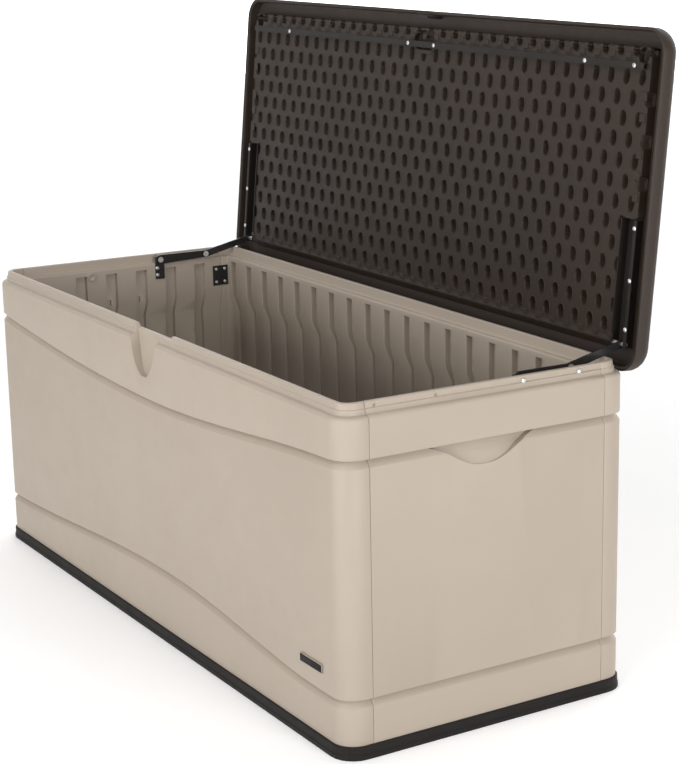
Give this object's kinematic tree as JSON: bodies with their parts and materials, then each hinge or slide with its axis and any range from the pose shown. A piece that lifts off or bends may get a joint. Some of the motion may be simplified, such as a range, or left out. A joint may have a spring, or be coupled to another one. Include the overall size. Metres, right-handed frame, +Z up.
{
  "type": "storage bench",
  "caption": "Rectangular outdoor storage bench with double-wall panels, waved grooves, side hand-holds and a hinged lid held open by folding stays.",
  "frame": {"origin": "centre of the flat underside that the bench stands on", "axes": "+Z up, +X along the length, the front faces -Y and the lid's hinge is at +Y"},
  "size_m": [1.524, 0.7177, 1.1997],
  "materials": {
    "sand_plastic": "moulded sand-coloured polyethylene with a fine pebbled grain",
    "brown_plastic": "moulded dark brown polyethylene with a fine grain",
    "dark_base_plastic": "moulded very dark brown polyethylene",
    "black_steel": "black powder-coated steel sheet",
    "bar_steel": "grey-brown powder-coated steel channel",
    "zinc_steel": "bright zinc-plated steel",
    "badge_metal": "plain printed plate with no lettering"
  },
  "bodies": {
    "case": {"back_panel": "sand_plastic", "badge_plate": "badge_metal", "corner_plate_back_left": "black_steel", "corner_plate_back_right": "black_steel", "corner_plate_front_left": "black_steel", "corner_plate_front_right": "black_steel", "floor_panel": "dark_base_plastic", "front_panel": "sand_plastic", "hinge_pin_centre": "zinc_steel", "hinge_pin_left": "zinc_steel", "hinge_pin_right": "zinc_steel", "left_rim_screw_1": "zinc_steel", "left_rim_screw_2": "zinc_steel", "left_side_panel": "sand_plastic", "left_stay_base": "black_steel", "left_stay_base_rivet": "zinc_steel", "left_stay_base_screw_1": "zinc_steel", "left_stay_base_screw_2": "zinc_steel", "right_rim_screw_1": "zinc_steel", "right_rim_screw_2": "zinc_steel", "right_side_panel": "sand_plastic", "right_stay_base": "black_steel", "right_stay_base_rivet": "zinc_steel", "right_stay_base_screw_1": "zinc_steel", "right_stay_base_screw_2": "zinc_steel"},
    "lid": {"bar_screw_1": "zinc_steel", "bar_screw_2": "zinc_steel", "bar_screw_3": "zinc_steel", "bar_screw_4": "zinc_steel", "bar_screw_5": "zinc_steel", "left_channel_screw_1": "zinc_steel", "left_channel_screw_2": "zinc_steel", "left_channel_screw_3": "zinc_steel", "left_lid_channel": "black_steel", "left_lid_pin": "zinc_steel", "lid_hasp": "black_steel", "lid_panel": "brown_plastic", "lid_support_bar": "bar_steel", "right_channel_screw_1": "zinc_steel", "right_channel_screw_2": "zinc_steel", "right_channel_screw_3": "zinc_steel", "right_lid_channel": "black_steel", "right_lid_pin": "zinc_steel"},
    "left_lower_arm": {"left_stay_lower_arm": "black_steel", "left_stay_elbow_rivet_outer": "zinc_steel"},
    "left_upper_arm": {"left_stay_upper_arm": "black_steel", "left_stay_elbow_rivet_inner": "zinc_steel"},
    "right_lower_arm": {"right_stay_lower_arm": "black_steel", "right_stay_elbow_rivet_outer": "zinc_steel"},
    "right_upper_arm": {"right_stay_upper_arm": "black_steel", "right_stay_elbow_rivet_inner": "zinc_steel"}
  },
  "joints": [
    {"name": "lid_hinge", "type": "hinge", "parent": "case", "child": "lid", "pos_m": [0, 0.301, 0.597], "axis": [1, 0, 0], "range_deg": [0, 95.5]},
    {"name": "left_stay_base_pivot", "type": "hinge", "parent": "case", "child": "left_lower_arm", "pos_m": [-0.713, 0.084, 0.61], "axis": [1, 0, 0], "range_deg": [-45.7, 0]},
    {"name": "left_stay_lid_pivot", "type": "hinge", "parent": "lid", "child": "left_upper_arm", "pos_m": [-0.713, 0.31816, 0.63955], "axis": [1, 0, 0], "range_deg": [-66.3, 0]},
    {"name": "right_stay_base_pivot", "type": "hinge", "parent": "case", "child": "right_lower_arm", "pos_m": [0.713, 0.084, 0.61], "axis": [1, 0, 0], "range_deg": [-45.7, 0]},
    {"name": "right_stay_lid_pivot", "type": "hinge", "parent": "lid", "child": "right_upper_arm", "pos_m": [0.713, 0.31816, 0.63955], "axis": [1, 0, 0], "range_deg": [-66.3, 0]}
  ],
  "couplings": [
    {"joint": "left_stay_base_pivot", "follows": "lid_hinge", "ratio": -0.47849},
    {"joint": "left_stay_lid_pivot", "follows": "lid_hinge", "ratio": -0.69419},
    {"joint": "right_stay_base_pivot", "follows": "lid_hinge", "ratio": -0.47849},
    {"joint": "right_stay_lid_pivot", "follows": "lid_hinge", "ratio": -0.69419}
  ]
}
